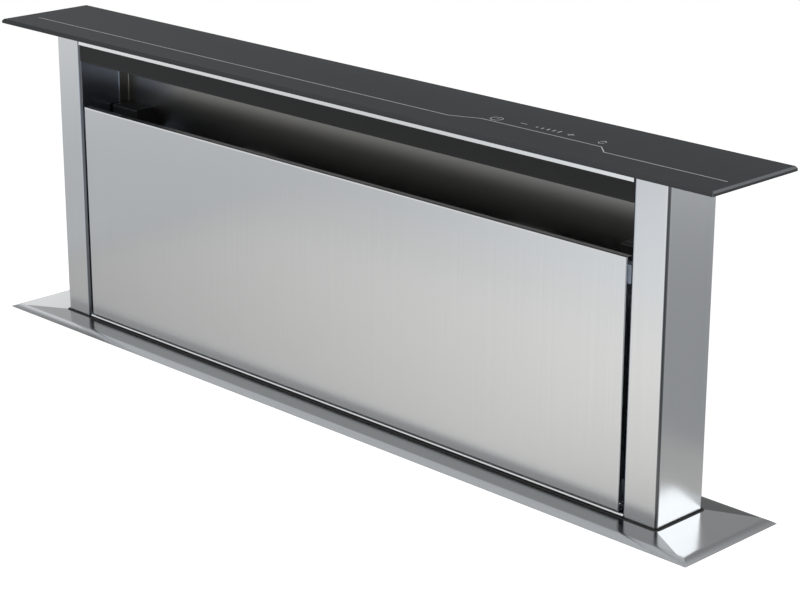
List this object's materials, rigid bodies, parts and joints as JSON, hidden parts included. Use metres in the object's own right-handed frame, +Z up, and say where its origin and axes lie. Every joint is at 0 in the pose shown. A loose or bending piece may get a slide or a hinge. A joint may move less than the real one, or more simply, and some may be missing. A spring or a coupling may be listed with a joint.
{
  "type": "downdraft vent",
  "caption": "Worktop downdraft extractor: a glass-topped steel suction tower that rises from a slim casing, with a side-outlet blower below.",
  "frame": {"origin": "centre of the worktop cut-out on the worktop's upper surface, with the tower raised", "axes": "+X along the unit to the right as seen from its front, -Y towards the front, +Z up"},
  "size_m": [0.88, 0.276, 1.0394],
  "materials": {
    "dark_glass": "satin printed",
    "brushed_steel": "brushed",
    "black_enamel": "satin",
    "zinc_sheet": "zinc coated",
    "turned_steel": "turned",
    "filter_aluminium": "satin",
    "cast_aluminium": "cast",
    "bronze": "turned",
    "motor_enamel": "satin",
    "black_plastic": "matte",
    "grey_plastic": "matte",
    "white_acetal": "matte",
    "rubber": "matte",
    "circuit_board": "matte"
  },
  "bodies": {
    "chassis": {"worktop_flange": "brushed_steel", "flange_gasket": "rubber", "tower_wiper": "rubber", "casing_front_sheet": "zinc_sheet", "casing_rear_sheet": "zinc_sheet", "casing_side_left": "zinc_sheet", "casing_side_right": "zinc_sheet", "casing_rivets": "zinc_sheet", "casing_floor_tray": "zinc_sheet", "guide_rails": "zinc_sheet", "stop_buffers": "rubber", "gear_cases": "cast_aluminium", "gear_brackets": "zinc_sheet", "lift_motor": "motor_enamel", "motor_saddle": "zinc_sheet", "blower_box": "zinc_sheet", "blower_cover": "black_enamel", "cover_screws": "zinc_sheet", "inlet_ring": "zinc_sheet", "motor_stator": "motor_enamel", "scroll_housing": "black_plastic", "outlet_transition": "black_plastic", "outlet_collar": "grey_plastic", "flap_pin": "turned_steel", "power_module_box": "black_plastic", "power_module_lid": "black_plastic", "power_board": "circuit_board", "cable_gland": "black_plastic", "foot_rails": "zinc_sheet", "worktop_clamps": "zinc_sheet", "clamp_screws": "zinc_sheet"},
    "tower": {"glass_top": "dark_glass", "touch_board": "circuit_board", "control_housing": "black_enamel", "mouth_trim": "brushed_steel", "air_scoop": "black_enamel", "column_left": "brushed_steel", "column_right": "brushed_steel", "rear_wall": "brushed_steel", "lower_front_sheet": "zinc_sheet", "front_top_rail": "zinc_sheet", "panel_magnets": "black_plastic", "filter_frames": "filter_aluminium", "filter_meshes": "filter_aluminium", "filter_ledge": "zinc_sheet", "filter_holders": "black_plastic", "filter_top_rail": "zinc_sheet", "column_feet": "zinc_sheet", "lift_nuts": "bronze", "guide_shoes": "white_acetal"},
    "front_panel": {"front_panel": "brushed_steel"},
    "spindle_left": {"spindle_left": "turned_steel"},
    "spindle_right": {"spindle_right": "turned_steel"},
    "drive_shaft": {"drive_shaft": "turned_steel"},
    "fan": {"impeller": "grey_plastic", "motor_rotor": "cast_aluminium"},
    "flap_front": {"flap_front": "grey_plastic"},
    "flap_rear": {"flap_rear": "grey_plastic"}
  },
  "joints": [
    {"name": "lift", "type": "slide", "parent": "chassis", "child": "tower", "axis": [0, 0, 1], "range_m": [-0.288, 0]},
    {"name": "spindle_left_turn", "type": "hinge", "parent": "chassis", "child": "spindle_left", "pos_m": [-0.36465, 0.00085, -0.452], "axis": [0, 0, 1], "range_deg": [0, 8645]},
    {"name": "spindle_right_turn", "type": "hinge", "parent": "chassis", "child": "spindle_right", "pos_m": [0.36465, 0.00085, -0.452], "axis": [0, 0, 1], "range_deg": [0, 8645]},
    {"name": "drive_shaft_turn", "type": "hinge", "parent": "chassis", "child": "drive_shaft", "pos_m": [0, 0.00085, -0.474], "axis": [1, 0, 0], "range_deg": [0, 8645]},
    {"name": "front_panel_tilt", "type": "hinge", "parent": "tower", "child": "front_panel", "pos_m": [0, -0.025, 0.012], "axis": [1, 0, 0], "range_deg": [0, 14]},
    {"name": "fan_spin", "type": "hinge", "parent": "chassis", "child": "fan", "pos_m": [0, -0.149, -0.552], "axis": [0, -1, 0], "continuous": true},
    {"name": "flap_front_swing", "type": "hinge", "parent": "chassis", "child": "flap_front", "pos_m": [0.182, -0.132, -0.457], "axis": [0, 0, 1], "range_deg": [0, 75], "stiffness_Nm_per_rad": 0.01, "springref_deg": -17.19},
    {"name": "flap_rear_swing", "type": "hinge", "parent": "chassis", "child": "flap_rear", "pos_m": [0.182, -0.132, -0.457], "axis": [0, 0, -1], "range_deg": [0, 75], "stiffness_Nm_per_rad": 0.01, "springref_deg": -17.19}
  ],
  "couplings": [
    {"joint": "spindle_left_turn", "follows": "lift", "rad_per_m": -523.6},
    {"joint": "spindle_right_turn", "follows": "lift", "rad_per_m": -523.6},
    {"joint": "drive_shaft_turn", "follows": "lift", "rad_per_m": -523.6}
  ]
}
